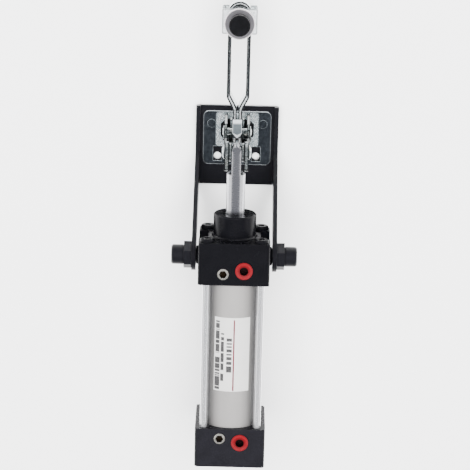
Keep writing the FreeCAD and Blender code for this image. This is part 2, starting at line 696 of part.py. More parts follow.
def make_head_cap():
    """The front cap, with the rod's bore, a spigot into the barrel, ports and trunnion holes."""
    block = cap_block(HEAD_FACE, BARREL_FRONT)
    spigot = along_y(dims.bore_radius - 0.05, BARREL_FRONT + 1, BARREL_FRONT - dims.spigot_length)
    edge = dims.cap_side / 2
    cutters = [
        along_y(9.0, HEAD_FACE - 14, BARREL_FRONT - 7),
        along_y(dims.rod_radius + 0.3, HEAD_FACE + 1, BARREL_FRONT - 7),
        along_y(12.0, HEAD_FACE + 1, HEAD_FACE - 8),
        seal_groove(FRONT_SEAL),
    ]
    cutters += [along_y(dims.tie_radius, HEAD_FACE + 1, BARREL_FRONT - 1, x, z) for x, z in tie_places()]
    cutters += top_bores(HEAD_FACE - dims.port_from_face, HEAD_FACE - dims.needle_from_face)
    for _, side in SIDES:
        start = layer_start(side, edge - 9, 12)
        cutters.append(rod(dims.trunnion_radius, 12, (start, dims.trunnion_y, dims.axis_height), ALONG_X))
        # a shallow pocket in the front face between the corners
        pocket = layer_start(side, edge - 6.5, 8)
        cutters.append(box((pocket, HEAD_FACE - 4, dims.axis_height - 11),
                           (pocket + 8, HEAD_FACE + 1, dims.axis_height + 11)))
    name_part("head_cap", cut(fuse(block, spigot), *cutters))


def make_rear_cap():
    """The rear cap, closed behind, with its port and needle hole."""
    block = cap_block(BARREL_REAR, REAR_END)
    spigot = along_y(dims.bore_radius - 0.05, BARREL_REAR + dims.spigot_length, BARREL_REAR - 1)
    cutters = [along_y(9.0, BARREL_REAR + 7, BARREL_REAR - 14)]
    cutters += [along_y(dims.tie_radius, BARREL_REAR + 1, REAR_END - 1, x, z) for x, z in tie_places()]
    nut_end = REAR_END + SUNK_NUT_DEPTH
    cutters += [along_y(SUNK_NUT_RADIUS, nut_end, REAR_END - 1, x, z) for x, z in tie_places()]
    cutters += top_bores(BARREL_REAR - dims.rear_port_from_face, BARREL_REAR - dims.rear_needle_from_face)
    cutters.append(seal_groove(REAR_SEAL))
    name_part("rear_cap", cut(fuse(block, spigot), *cutters))


def make_barrel():
    """The barrel tube, and the label that is stuck on top of it."""
    length = BARREL_FRONT - BARREL_REAR
    name_part("barrel", turned("tube", ring(dims.bore_radius, dims.barrel_radius, length),
                               (0, BARREL_REAR, dims.axis_height), ALONG_Y))
    wide = dims.label_half_width
    shell = turned("label_shell", ring(dims.barrel_radius, dims.barrel_radius + 0.12, dims.label_length),
                   (0, BARREL_REAR + 27.5, dims.axis_height), ALONG_Y)
    window = box((-wide, BARREL_REAR + 27, dims.axis_height + 10), (wide, BARREL_REAR + 83, CAP_TOP))
    name_part("label", common(shell, window))


def make_gland():
    """The round gland in front of the head cap, its bronze bush, and the seals around the rod."""
    length = dims.gland_length
    outer = dims.gland_radius
    lip = dims.rod_radius + 0.3
    gland = [(10.0, -8), (12.0, -8), (12.0, 0), (outer, 0), (outer, length - 0.8),
             (outer - 0.8, length), (lip, length), (lip, length - 2), (10.0, length - 2)]
    name_part("gland", turned("gland_body", gland, (0, HEAD_FACE, dims.axis_height), ALONG_Y))
    bush = ring(dims.rod_radius + dims.running_gap, 10.0, 14)
    name_part("rod_bush", turned("bush_body", bush, (0, HEAD_FACE - 8, dims.axis_height), ALONG_Y))
    sealing = dims.rod_radius + 0.02
    seal = [(sealing, 0), (10.0, 0), (10.0, 6.5), (dims.rod_radius + 1.5, 6.5), (sealing, 4.5)]
    name_part("rod_seal", turned("seal_body", seal, (0, HEAD_FACE + 6.5, dims.axis_height), ALONG_Y))


def make_tie_rods():
    """Four tie rods, with a round cap nut on each front end and a sunk nut on each rear end."""
    radius = dims.tie_radius
    bars = []
    front_nuts = []
    rear_nuts = []
    for x, z in tie_places():
        bars.append(along_y(radius, HEAD_FACE + 1.8, REAR_END + 1, x, z))
        cap_nut = [(radius, 0), (5.0, 0), (5.0, 1.6), (4.2, 2.4), (2.2, 2.4), (2.2, 1.8), (radius, 1.8)]
        front_nuts.append(turned("cap_nut", cap_nut, (x, HEAD_FACE, z), ALONG_Y))
        sunk_nut = ring(radius, SUNK_NUT_RADIUS, SUNK_NUT_DEPTH - 1)
        rear_nuts.append(turned("sunk_nut", sunk_nut, (x, REAR_END + 1, z), ALONG_Y))
    name_part("tie_rods", group(*bars))
    name_part("tie_rod_nuts_front", group(*front_nuts))
    name_part("tie_rod_nuts_rear", group(*rear_nuts))


def make_barrel_seals():
    """An O-ring in the groove of each cap's spigot."""
    profile = ring(SEAL_FLOOR, dims.bore_radius - 0.02, SEAL_WIDTH)
    rings = [turned("o_ring", profile, (0, y, dims.axis_height), ALONG_Y) for y in (FRONT_SEAL, REAR_SEAL)]
    name_part("barrel_seals", group(*rings))


def make_plugs_and_needles():
    """A push-in transport plug for each port, and the cushion needle screws beside them."""
    places = (("front", HEAD_FACE - dims.port_from_face, HEAD_FACE - dims.needle_from_face),
              ("rear", BARREL_REAR - dims.rear_port_from_face, BARREL_REAR - dims.rear_needle_from_face))
    sink = dims.plug_sink
    plug = [(2.9, 2), (2.9, sink + 1.2), (5.2, sink + 1.6), (dims.plug_radius, sink + 0.9),
            (dims.plug_radius, sink), (4.5, sink), (4.4, 0), (0, 0), (0, 2)]
    thread = dims.needle_radius - dims.running_gap
    needle = [(0, 0), (1.4, 0), (thread, 2), (thread, 6.7), (3.4, 7.4), (0, 7.4)]
    for word, port_y, needle_y in places:
        name_part(f"port_plug_{word}", turned("plug_body", plug, (dims.port_x, port_y, CAP_TOP - sink)))
        screw = turned("needle_body", needle, (dims.needle_x, needle_y, CAP_TOP - 7.2))
        corners = [(x + dims.needle_x, y + needle_y) for x, y in hexagon(dims.needle_socket)]
        socket = padded("socket", "XY_Plane", corners, CAP_TOP - 3, 5)
        name_part(f"cushion_needle_{word}", cut(screw, socket))


def side_hexagon(name, flats, start, thickness):
    """A hexagonal block across the cylinder, centred on the trunnions' axis."""
    corners = [(y + dims.trunnion_y, z + dims.axis_height) for y, z in hexagon(as_size(flats))]
    return padded(name, "YZ_Plane", corners, start, thickness)


def make_trunnions():
    """On each side: a shouldered trunnion screw, its lock nut outside the ear and a collar inside."""
    half = dims.cap_side / 2
    inner = half - 8
    nut_inner = dims.bracket_width / 2 + 0.2
    radius = dims.trunnion_radius
    head = dims.trunnion_head
    shank = nut_inner + dims.trunnion_nut - inner
    length = dims.trunnion_end - inner
    screw = [(0, 0), (radius, 0), (radius, shank), (head - 0.6, shank), (head, shank + 0.6),
             (head, length - 1), (head - 1, length), (0, length)]
    collar = [(radius, 0), (7.0, 0), (6.2, 1.7), (radius, 1.7)]
    for word, side in SIDES:
        start = (inner * side, dims.trunnion_y, dims.axis_height)
        blank = turned("trunnion_body", screw, start, outward(side))
        socket = side_hexagon("trunnion_socket", 7.0, layer_start(side, dims.trunnion_end - 4, 5), 5)
        name_part(f"trunnion_screw_{word}", cut(blank, socket))
        nut_start = layer_start(side, nut_inner, dims.trunnion_nut)
        prism = side_hexagon("lock_nut", 17.0, nut_start, dims.trunnion_nut)
        bore_start = (nut_start - 0.5, dims.trunnion_y, dims.axis_height)
        bore = rod(radius, dims.trunnion_nut + 1, bore_start, ALONG_X)
        name_part(f"trunnion_nut_{word}", cut(prism, bore))
        name_part(f"trunnion_collar_{word}",
                  turned("collar", collar, (half * side, dims.trunnion_y, dims.axis_height), outward(side)))


# ---- piston and rod

def make_rod():
    """The piston rod: a round bar, milled at its end to a tongue with an upright slot for the pin."""
    rear = BARREL_FRONT - dims.spigot_length - 3 - dims.piston_length
    bar = along_y(dims.rod_radius, dims.shoulder_y, rear + dims.piston_length)
    spigot = along_y(5.0, rear + dims.piston_length + 1, rear - 7)
    taper = cone(dims.rod_radius, 4.0, 1.8, (0, dims.shoulder_y, dims.axis_height), ALONG_Y)
    name_part("piston_rod", cut(fuse(bar, spigot, taper, rod_tongue()), *pin_slot()))
    make_piston(rear)


def rod_tongue():
    """The rod's tongue: a slab with a round nose, whose crest rises gently to clear the pin's slot."""
    half = dims.tongue_half
    axis = dims.axis_height
    root = dims.shoulder_y - 1
    nose = dims.rod_pin_y + dims.eye_radius - half
    bottom = axis - dims.eye_radius
    plan = [(-half, root), (half, root), (half, nose, "right"), (-half, nose)]
    height = dims.eye_radius + dims.rod_radius + dims.eye_lift
    slab = padded("tongue_slab", "XY_Plane", plan, bottom, height)
    level = along_y(dims.rod_radius, nose + half, root)
    slope = math.degrees(math.atan2(dims.eye_lift.value, (dims.rod_pin_y - dims.shoulder_y).value))
    rising_turn = FreeCAD.Rotation(FreeCAD.Vector(1, 0, 0), slope - 90)
    rising = rod(dims.rod_radius, dims.eye_radius * 4, (0, dims.shoulder_y, axis), rising_turn)
    return common(slab, fuse(level, rising))


def pin_slot():
    """Cutters for the slot in which the rod pin rides up as the clamp opens."""
    radius = dims.rod_pin_radius + 0.4
    middle = dims.rod_pin_y - 0.3
    cutters = [rod(radius, 10, (-5, middle, dims.axis_height + rise), ALONG_X) for rise in (0, dims.eye_lift)]
    cutters.append(box((-5, middle - radius, dims.axis_height),
                       (5, middle + radius, dims.axis_height + dims.eye_lift)))
    return cutters


def make_piston(rear):
    """The piston on the rod's spigot, its two lip seals, its guide band and its nut."""
    outer = dims.bore_radius - 0.3
    groove = outer - 3
    recess = outer - 1.5
    length = dims.piston_length
    piston = [(5.0, 0), (outer, 0), (outer, 3), (groove, 3), (groove, 7), (outer, 7), (outer, 9),
              (recess, 9), (recess, 13), (outer, 13), (outer, 15), (groove, 15), (groove, 19),
              (outer, 19), (outer, length), (5.0, length)]
    name_part("piston", turned("piston_body", piston, (0, rear, dims.axis_height), ALONG_Y))
    lip = ring(groove, dims.bore_radius - 0.02, 4)
    seals = [turned("lip_seal", lip, (0, rear + y, dims.axis_height), ALONG_Y) for y in (3.0, 15.0)]
    name_part("piston_seals", group(*seals))
    band = ring(recess, dims.bore_radius - 0.03, 4)
    name_part("piston_guide_band", turned("guide_band", band, (0, rear + 9, dims.axis_height), ALONG_Y))
    nut = [(x, z + dims.axis_height) for x, z in hexagon(as_size(15.0))]
    prism = padded("piston_nut_prism", "XZ_Plane", nut, -rear, 6)
    name_part("piston_nut", cut(prism, along_y(5.0, rear + 1, rear - 8)))


def check_objects():
    """Stops if any object failed, or a sub-part has no valid shape."""
    for item in doc.Objects:
        if "Invalid" in item.State or "Error" in item.State:
            raise RuntimeError(f"{item.Label} ({item.Name}) failed: {item.State}")
    for item in sub_parts:
        if item.Shape.isNull() or not item.Shape.isValid() or not item.Shape.Solids:
            raise RuntimeError(f"{item.Label} has no valid shape")


def write_parts():
    """Writes each sub-part to its own STEP file."""
    os.makedirs("parts", exist_ok=True)
    for item in sub_parts:
        item.Shape.exportStep(f"parts/{item.Label}.step")
        print(f"{item.Label}: {len(item.Shape.Solids)} solids, {item.Shape.Volume:.1f} mm3")


write_sheet()
make_bracket()
make_base_flange()
make_base_uprights()
make_fixed_pins()
make_arm()
make_arm_stop()
make_lever_pivot()
make_lever()
make_links()
make_spindle()
make_spindle_clamp()
make_head_cap()
make_rear_cap()
make_barrel()
make_gland()
make_tie_rods()
make_barrel_seals()
make_plugs_and_needles()
make_trunnions()
make_rod()
doc.recompute()
check_objects()
write_parts()
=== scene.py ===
import math

import bpy
from mathutils import Matrix, Vector


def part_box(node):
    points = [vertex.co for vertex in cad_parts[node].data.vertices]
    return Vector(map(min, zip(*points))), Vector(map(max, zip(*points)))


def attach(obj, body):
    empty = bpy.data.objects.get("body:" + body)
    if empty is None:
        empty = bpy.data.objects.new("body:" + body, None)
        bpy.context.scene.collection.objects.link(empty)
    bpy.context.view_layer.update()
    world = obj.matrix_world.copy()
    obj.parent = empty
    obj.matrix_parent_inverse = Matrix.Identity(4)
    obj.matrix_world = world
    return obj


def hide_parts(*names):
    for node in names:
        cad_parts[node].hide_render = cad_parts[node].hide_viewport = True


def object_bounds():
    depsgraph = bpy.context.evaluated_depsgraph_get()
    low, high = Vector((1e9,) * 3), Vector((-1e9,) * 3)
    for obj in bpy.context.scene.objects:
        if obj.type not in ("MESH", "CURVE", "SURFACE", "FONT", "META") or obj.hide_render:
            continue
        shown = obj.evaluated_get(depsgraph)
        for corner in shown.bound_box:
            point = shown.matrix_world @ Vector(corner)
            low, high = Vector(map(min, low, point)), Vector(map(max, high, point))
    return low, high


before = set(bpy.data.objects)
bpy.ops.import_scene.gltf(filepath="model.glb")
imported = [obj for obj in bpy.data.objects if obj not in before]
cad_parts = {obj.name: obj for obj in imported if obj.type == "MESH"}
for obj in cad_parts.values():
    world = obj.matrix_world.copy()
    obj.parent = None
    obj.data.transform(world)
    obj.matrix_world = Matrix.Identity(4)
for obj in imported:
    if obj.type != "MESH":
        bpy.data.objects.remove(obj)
cad_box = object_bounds()

MM = 0.001

# The camera looks down on the cylinder's top and leans towards the clamp.
CAMERA_AIM = Vector((0, -57, 65)) * MM
CAMERA_DISTANCE = 1258 * MM
CAMERA_LENS = 136.9
CAMERA_LEAN = math.radians(15.1)
CAMERA_ROLL = math.radians(-1.4)
CAMERA_SIDESTEP = Vector((-0.27, 0.09, 0)) * MM


def middle_of(node):
    """The middle of a CAD node's box, in millimetres."""
    low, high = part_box(node)
    return (low + high) / 2 / MM


# Places on the object, in millimetres.
SPINDLE_Y = round(middle_of("spindle_screw").y, 3)
AXIS_HEIGHT = round(middle_of("barrel").z, 3)
HEAD_FACE = round(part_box("head_cap")[1].y / MM, 3)
CAP_TOP = round(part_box("head_cap")[1].z / MM, 3)
GLAND_RADIUS = round((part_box("gland")[1].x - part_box("gland")[0].x) / 2 / MM, 3)
ARM_LEG_OUTER = round(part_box("arm")[1].x / MM, 3)
BASE_FLANGE_TOP = 5.5
PLATFORM_FROM = 5.65
ABOVE_RIVETS = 50.0


class Finish:
    """A procedural material in the making, with short calls for its nodes. Sizes are in millimetres."""

    def __init__(self, name, soft_edge=0.0, **settings):
        self.material = bpy.data.materials.new(name)
        self.material.use_nodes = True
        self.tree = self.material.node_tree
        self.shader = self.tree.nodes["Principled BSDF"]
        self.normal = None
        for socket, value in settings.items():
            self.shader.inputs[socket].default_value = value
        if soft_edge:
            self.normal = self.node("ShaderNodeBevel", {"Radius": soft_edge * MM}, samples=6).outputs[0]
            self.feed(self.shader.inputs["Normal"], self.normal)

    def node(self, kind, inputs=(), **settings):
        """Adds a node, sets its properties, and links or sets its inputs by name or number."""
        made = self.tree.nodes.new(kind)
        for key, value in settings.items():
            setattr(made, key, value)
        for key, value in dict(inputs).items():
            self.feed(made.inputs[key], value)
        return made

    def feed(self, socket, value):
        if isinstance(value, bpy.types.NodeSocket):
            self.tree.links.new(value, socket)
        else:
            socket.default_value = value

    def place(self, stretch=(1, 1, 1), centre=(0, 0, 0)):
        """The point on the object, in millimetres from centre, divided by stretch along each axis."""
        point = self.node("ShaderNodeTexCoord").outputs["Object"]
        moved = self.node("ShaderNodeVectorMath", {0: point, 1: Vector(centre) * MM}, operation="SUBTRACT")
        scale = [1 / (MM * s) for s in stretch]
        scaled = self.node("ShaderNodeVectorMath", {0: moved.outputs[0], 1: scale}, operation="MULTIPLY")
        return scaled.outputs[0]

    def axis(self, number):
        """One coordinate of the point on the object, in millimetres."""
        return self.node("ShaderNodeSeparateXYZ", {0: self.place()}).outputs[number]

    def facing_square(self, low, high):
        """1 where the surface faces straight up, down or sideways, and 0 where it faces a corner."""
        normal = self.node("ShaderNodeTexCoord").outputs["Normal"]
        parts = self.node("ShaderNodeSeparateXYZ", {0: normal}).outputs
        aside, upward = self.calc("ABSOLUTE", parts[0]), self.calc("ABSOLUTE", parts[2])
        return self.between(self.calc("MAXIMUM", aside, upward), low, high)

    def near_edge(self, reach, blunt=0.94, flat_from=0.997):
        """1 along sharp edges and 0 on open faces, fading out within reach of the edge.

        The rounded and the flat normal are compared: blunt is the likeness at which the edge
        shows fully, and flat_from the likeness at which nothing shows.
        """
        rounded = self.node("ShaderNodeBevel", {"Radius": reach * MM}, samples=16).outputs[0]
        flat = self.node("ShaderNodeNewGeometry").outputs["Normal"]
        inputs = {0: rounded, 1: flat}
        likeness = self.node("ShaderNodeVectorMath", inputs, operation="DOT_PRODUCT").outputs["Value"]
        return self.between(likeness, flat_from, blunt)

    def from_axis(self, centre):
        """How far the point is from the upright axis through centre, in millimetres."""
        at = self.place(centre=centre)
        flat = self.node("ShaderNodeVectorMath", {0: at, 1: (1, 1, 0)}, operation="MULTIPLY")
        return self.node("ShaderNodeVectorMath", {0: flat.outputs[0]}, operation="LENGTH").outputs["Value"]

    def noise(self, size, detail=3.0, stretch=(1, 1, 1), roughness=0.55):
        """Cloudy noise from 0 to 1, with blobs about that many millimetres across."""
        inputs = {"Vector": self.place(stretch), "Scale": 1 / size, "Detail": detail, "Roughness": roughness}
        return self.node("ShaderNodeTexNoise", inputs).outputs["Fac"]

    def cells(self, size):
        """A random number per cell, for the spangle of plated sheet."""
        cell = self.node("ShaderNodeTexVoronoi", {"Vector": self.place(), "Scale": 1 / size})
        return self.node("ShaderNodeSeparateColor", {0: cell.outputs["Color"]}).outputs[0]

    def calc(self, operation, first, second=0.0):
        """One step of arithmetic between two numbers or sockets."""
        return self.node("ShaderNodeMath", {0: first, 1: second}, operation=operation).outputs[0]

    def between(self, value, low, high, start=0.0, end=1.0):
        """value, spread from low..high to start..end and held there."""
        spread = {"Value": value, "From Min": low, "From Max": high, "To Min": start, "To Max": end}
        return self.node("ShaderNodeMapRange", spread).outputs[0]

    def mixed(self, share, first, second):
        """A colour between two others, each a colour or a socket."""
        mix = self.node("ShaderNodeMix", data_type="RGBA")
        factor, *_, first_colour, second_colour = [socket for socket in mix.inputs if socket.enabled]
        self.feed(factor, share)
        for socket, colour in ((first_colour, first), (second_colour, second)):
            self.feed(socket, colour if isinstance(colour, bpy.types.NodeSocket) else (*colour, 1.0))
        return next(socket for socket in mix.outputs if socket.enabled)

    def color(self, share, first, second):
        self.feed(self.shader.inputs["Base Color"], self.mixed(share, first, second))

    def set_roughness(self, value):
        self.feed(self.shader.inputs["Roughness"], value)

    def roughness(self, value, low, high):
        self.set_roughness(self.between(value, 0.25, 0.75, low, high))

    def bump(self, height, depth):
        """Raises the surface by height times depth, in millimetres, over any bump so far."""
        inputs = {"Height": height, "Distance": depth * MM, "Strength": 1.0}
        if self.normal is not None:
            inputs["Normal"] = self.normal
        self.normal = self.node("ShaderNodeBump", inputs).outputs[0]
        self.feed(self.shader.inputs["Normal"], self.normal)


def darker(tone, share):
    return [part * share for part in tone]


def black_coat(name, tone, grain, gloss, soft_edge=0.35, shine=0.10):
    """Satin black paint or anodising: an even grain, uneven gloss, and edges a little paler, partly rubbed
    wear and partly painted highlight.
    """
    finish = Finish(name, soft_edge, **{"Specular IOR Level": shine})
    # Edges paler in patches: partly rubbed wear, partly a painted highlight along them.
    rubbed_and_lit_edges = finish.calc("MULTIPLY", finish.near_edge(0.5), finish.between(finish.noise(5, 4), 0.35, 0.7))
    coat = finish.mixed(finish.noise(9, 4), darker(tone, 0.75), darker(tone, 1.35))
    finish.color(finish.calc("MULTIPLY", rubbed_and_lit_edges, 0.5), coat, (0.02, 0.02, 0.022))
    finish.roughness(finish.noise(6, 5), gloss - 0.04, gloss + 0.06)
    finish.bump(finish.noise(grain, 2), 0.002)
    finish.bump(finish.noise(4, 2), 0.005)
    return finish.material


def leg_reflection_outlines(finish):
    """1 in a band along the outside of the arm's legs, on the faces that do not look sideways, where a dark
    reflection is painted on.
    """
    dark_width, fade, legs_start = 1.7, 0.2, 37.0
    aside = finish.calc("ABSOLUTE", finish.axis(0))
    limit = ARM_LEG_OUTER - dark_width
    outer = finish.between(aside, limit - fade, limit + fade)
    normal = finish.node("ShaderNodeNewGeometry").outputs["True Normal"]
    sideways = finish.node("ShaderNodeSeparateXYZ", {0: normal}).outputs[0]
    level = finish.calc("LESS_THAN", finish.calc("ABSOLUTE", sideways), 0.5)
    legs = finish.between(finish.axis(1), legs_start - 2, legs_start + 2)
    return finish.calc("MULTIPLY", finish.calc("MULTIPLY", level, legs), outer)


def sheet_zinc(name, pale, deep, painted_rim_shading, polish, reach, metallic=0.92, blunt=0.985, reflection_outlines=None):
    """Clear zinc plating: mottled silver with a blue-green cast, and darker rims along its edges, painted as
    the dark reflection of rounded edges.

    An optional function of the finish gives the painted dark rims that the edges alone do not give.
    """
    finish = Finish(name, 0.3, **{"Metallic": metallic})
    mottle = finish.between(finish.noise(2.2, 5, roughness=0.65), 0.36, 0.64)
    silver = finish.mixed(mottle, deep, pale)
    straw = finish.mixed(finish.between(finish.noise(9, 2), 0.55, 0.7, 0, 0.35), silver, (0.46, 0.44, 0.36))
    spangled = finish.mixed(finish.between(finish.cells(0.8), 0, 1, 0, 0.16), straw, (0.72, 0.80, 0.82))
    edges = finish.near_edge(reach, blunt, 0.999)
    if reflection_outlines:
        edges = finish.calc("MAXIMUM", edges, reflection_outlines(finish))
    # Edges and outlines take the rim tone: a painted dark reflection.
    finish.color(edges, spangled, painted_rim_shading)
    finish.roughness(finish.noise(3, 5), polish, polish + 0.12)
    finish.bump(finish.noise(0.35, 3, (1, 6, 6)), 0.0015)
    finish.bump(finish.noise(2.0, 2), 0.012)
    return finish.material


def plated_nuts():
    """The spindle's nuts: dark plated steel with the tool marks of the hexagon left on it."""
    finish = Finish("dark_plated_nuts", 0.4, **{"Metallic": 0.9})
    mottle = finish.between(finish.noise(2.5, 4), 0.35, 0.65)
    finish.color(mottle, (0.11, 0.125, 0.128), (0.22, 0.24, 0.245))
    finish.roughness(finish.noise(2, 5), 0.22, 0.36)
    finish.bump(finish.noise(0.3, 3, (6, 6, 1)), 0.002)
    return finish.material


def pin_zinc():
    """Zinc plating on turned pins: bright, with fine machining left under it."""
    finish = Finish("zinc_pin_plating", 0.3, **{"Metallic": 0.95})
    patches = finish.between(finish.noise(2, 4), 0.35, 0.65)
    silver = finish.mixed(patches, (0.10, 0.12, 0.125), (0.50, 0.53, 0.53))
    finish.color(finish.between(finish.noise(5, 2), 0.56, 0.72, 0, 0.4), silver, (0.46, 0.42, 0.34))
    finish.roughness(finish.noise(2, 5), 0.12, 0.24)
    finish.bump(finish.noise(0.25, 3, (1, 5, 5)), 0.0012)
    finish.bump(finish.noise(1.4, 2), 0.004)
    return finish.material


def stop_steel():
    """The arm's stop: a pale plated saddle plate with a greyer boss above it, and a painted highlight along
    its edges.
    """
    finish = Finish("stop_plating", 0.3, **{"Metallic": 0.6})
    saddle_top, fade = 49.8, 0.6
    patches = finish.noise(1.6, 4)
    saddle = finish.mixed(patches, (0.60, 0.64, 0.66), (0.76, 0.79, 0.80))
    boss = finish.mixed(patches, (0.075, 0.090, 0.098), (0.12, 0.14, 0.15))
    toned = finish.mixed(finish.between(finish.axis(2), saddle_top, saddle_top + fade), saddle, boss)
    # Edges painted pale: a painted highlight.
    finish.color(finish.near_edge(0.6), toned, (0.62, 0.66, 0.68))
    finish.roughness(finish.noise(1.5, 4), 0.26, 0.4)
    finish.bump(finish.noise(0.4, 3), 0.003)
    return finish.material


def base_zinc(name, raised_from):
    """The base's plating: the flange painted dark as its glassy reflection, with a pale brushed platform
    above a given height, a painted highlight on the flange's rim, and painted light and shade along the
    edges.
    """
    finish = Finish(name, 0.5, **{"Metallic": 0.8})
    raised = finish.between(finish.axis(2), raised_from, raised_from + 0.4)
    patches = finish.between(finish.noise(2.4, 5, roughness=0.65), 0.36, 0.64)
    # Painted reflection: the flange is the platform's plating, toned dark as its glassy reflection.
    flange_dark_reflection = finish.mixed(patches, (0.018, 0.022, 0.027), (0.048, 0.056, 0.065))
    platform = finish.mixed(patches, (0.38, 0.45, 0.47), (0.74, 0.79, 0.80))
    # Painted highlight: a pale line on the flange's rim.
    painted_rim_shading = finish.between(finish.axis(2), BASE_FLANGE_TOP - 0.04, BASE_FLANGE_TOP - 0.2)
    with_rim_highlight = finish.mixed(painted_rim_shading, flange_dark_reflection, (0.50, 0.54, 0.56))
    # Painted highlight along the flange's edges, and painted dark lines along the platform's.
    glints = finish.mixed(raised, (0.42, 0.46, 0.48), (0.10, 0.13, 0.135))
    finish.color(finish.near_edge(0.7), finish.mixed(raised, with_rim_highlight, platform), glints)
    cloudy = finish.between(finish.noise(3, 5), 0.25, 0.75, 0.08, 0.22)
    finish.set_roughness(finish.calc("ADD", cloudy, finish.calc("MULTIPLY", raised, 0.1)))
    finish.bump(finish.noise(0.35, 3, (1, 6, 6)), 0.0015)
    finish.bump(finish.noise(2.2, 2), 0.014)
    return finish.material


def turned_steel(name, centre, tone, low, high):
    """Lathe-turned steel: fine rings about the vertical axis through centre."""
    ring = 0.45
    finish = Finish(name, 0.25, **{"Metallic": 1.0})
    at = finish.place(centre=centre)
    wave = {"Vector": at, "Scale": 0.3 / ring, "Distortion": 0.4, "Detail": 2.0}
    rings = finish.node("ShaderNodeTexWave", wave, wave_type="RINGS", rings_direction="Z").outputs["Fac"]
    finish.color(finish.noise(4, 4), darker(tone, 0.82), [min(1, part * 1.12) for part in tone])
    finish.roughness(finish.noise(1.5, 4), low, high)
    finish.bump(rings, 0.0012)
    finish.bump(finish.noise(0.4, 2), 0.0006)
    return finish.material


def drawn_metal(name, crown, shaded_flank, low, high, metallic, leaning, upright):
    """Metal drawn along the cylinder: fine lengthwise lines, and painted shade where it leans at 45 degrees.
    """
    line, depth = 0.25, 0.004
    finish = Finish(name, **{"Metallic": metallic})
    lines = finish.noise(line, 3, (1, 120, 1))
    cloudy = finish.noise(8, 4, (1, 2.5, 1))
    worn = finish.mixed(cloudy, darker(crown, 0.93), darker(crown, 1.05))
    streaked_shade = finish.mixed(finish.between(lines, 0.35, 0.65, 0, 0.12), shaded_flank, crown)
    # Painted shade: the dark flank tone where the surface faces a corner, the crown tone elsewhere.
    finish.color(finish.facing_square(leaning, upright), streaked_shade, worn)
    uneven = finish.node("ShaderNodeMix", {"Factor": 0.5, "A": lines, "B": cloudy}).outputs[0]
    finish.roughness(uneven, low, high)
    finish.bump(lines, depth)
    return finish.material


def chrome():
    """Hard chrome on the rod: polished round and round, with a trace of travel marks lengthwise."""
    finish = Finish("polished_chrome", 0.3, **{"Metallic": 1.0})
    finish.color(finish.noise(14, 2, (1, 3, 1)), (0.43, 0.43, 0.455), (0.50, 0.50, 0.525))
    finish.roughness(finish.noise(0.5, 3, (12, 0.4, 12)), 0.24, 0.30)
    finish.bump(finish.noise(0.22, 2, (30, 1, 30)), 0.0005)
    finish.bump(finish.noise(0.5, 2, (1, 60, 1)), 0.0006)
    return finish.material


def rubber(name, tone, gloss):
    """Moulded rubber: matt, faintly pitted, with a dusty bloom in patches."""
    finish = Finish(name, 0.4, **{"Specular IOR Level": 0.25})
    bloom = finish.between(finish.noise(3.5, 5), 0.45, 0.75)
    finish.color(bloom, tone, darker(tone, 2.1))
    finish.roughness(finish.noise(1.5, 4), gloss - 0.08, gloss + 0.1)
    finish.bump(finish.noise(0.3, 4), 0.02)
    return finish.material


def moulded_plastic(name, tone, gloss):
    """Moulded plastic: even colour with a slight flow pattern and a soft orange-peel surface."""
    finish = Finish(name, 0.2, **{"Specular IOR Level": 0.35})
    finish.color(finish.noise(2.5, 3, (1, 1, 3)), darker(tone, 0.8), darker(tone, 1.15))
    finish.roughness(finish.noise(1.2, 4), gloss - 0.07, gloss + 0.1)
    finish.bump(finish.noise(0.5, 2), 0.01)
    return finish.material


def hollow_plug(name, centre):
    """Red plastic round a bore painted near-black as shade, with the slope between the bore and the lip
    painted darker as shade.
    """
    bore, slope_end = 3.0, 5.0  # radii
    finish = Finish(name, 0.4, **{"Specular IOR Level": 0.22})
    away = finish.from_axis(centre)
    skin = finish.mixed(finish.noise(2.0, 3), (0.085, 0.0016, 0.0036), (0.135, 0.0026, 0.0056))
    # Painted shade: darker down the slope, and near-black in the bore.
    shaded_slope = finish.mixed(finish.between(away, bore + 0.2, slope_end), (0.055, 0.0010, 0.0022), skin)
    finish.color(finish.between(away, bore - 0.08, bore + 0.05), (0.0030, 0.0008, 0.0009), shaded_slope)
    finish.roughness(finish.noise(1.2, 4), 0.32, 0.48)
    finish.bump(finish.noise(0.5, 2), 0.01)
    return finish.material


def needle_steel(name, centre):
    """A turned steel screw with its socket painted near-black as shade, and fine rings on its face."""
    socket, ring_rate = 3.0, 14.0
    finish = Finish(name, 0.3, **{"Metallic": 0.9})
    away = finish.from_axis(centre)
    face = finish.mixed(finish.noise(1.5, 4), (0.36, 0.345, 0.31), (0.60, 0.58, 0.54))
    # Painted shade: the sunk socket is toned near-black.
    sunk = finish.between(finish.axis(2), CAP_TOP - 0.05, CAP_TOP - 0.4)
    deep = finish.calc("MULTIPLY", sunk, finish.between(away, socket + 0.1, socket - 0.05))
    finish.color(deep, face, (0.022, 0.014, 0.008))
    finish.roughness(finish.noise(1.5, 4), 0.22, 0.34)
    finish.bump(finish.calc("SINE", finish.calc("MULTIPLY", away, ring_rate)), 0.0015)
    return finish.material


def bronze():
    """Sintered bronze, speckled with its oil-filled pores."""
    finish = Finish("sintered_bronze", **{"Metallic": 1.0})
    pores = finish.between(finish.noise(0.25, 3), 0.3, 0.5)
    finish.color(pores, (0.22, 0.13, 0.06), (0.66, 0.45, 0.22))
    finish.roughness(finish.noise(1.0, 4), 0.32, 0.5)
    finish.bump(pores, 0.01)
    return finish.material


def in_span(finish, value, low, high):
    """1 where low < value < high, and 0 elsewhere."""
    above = finish.calc("GREATER_THAN", value, low)
    below = finish.calc("LESS_THAN", value, high)
    return finish.calc("MULTIPLY", above, below)


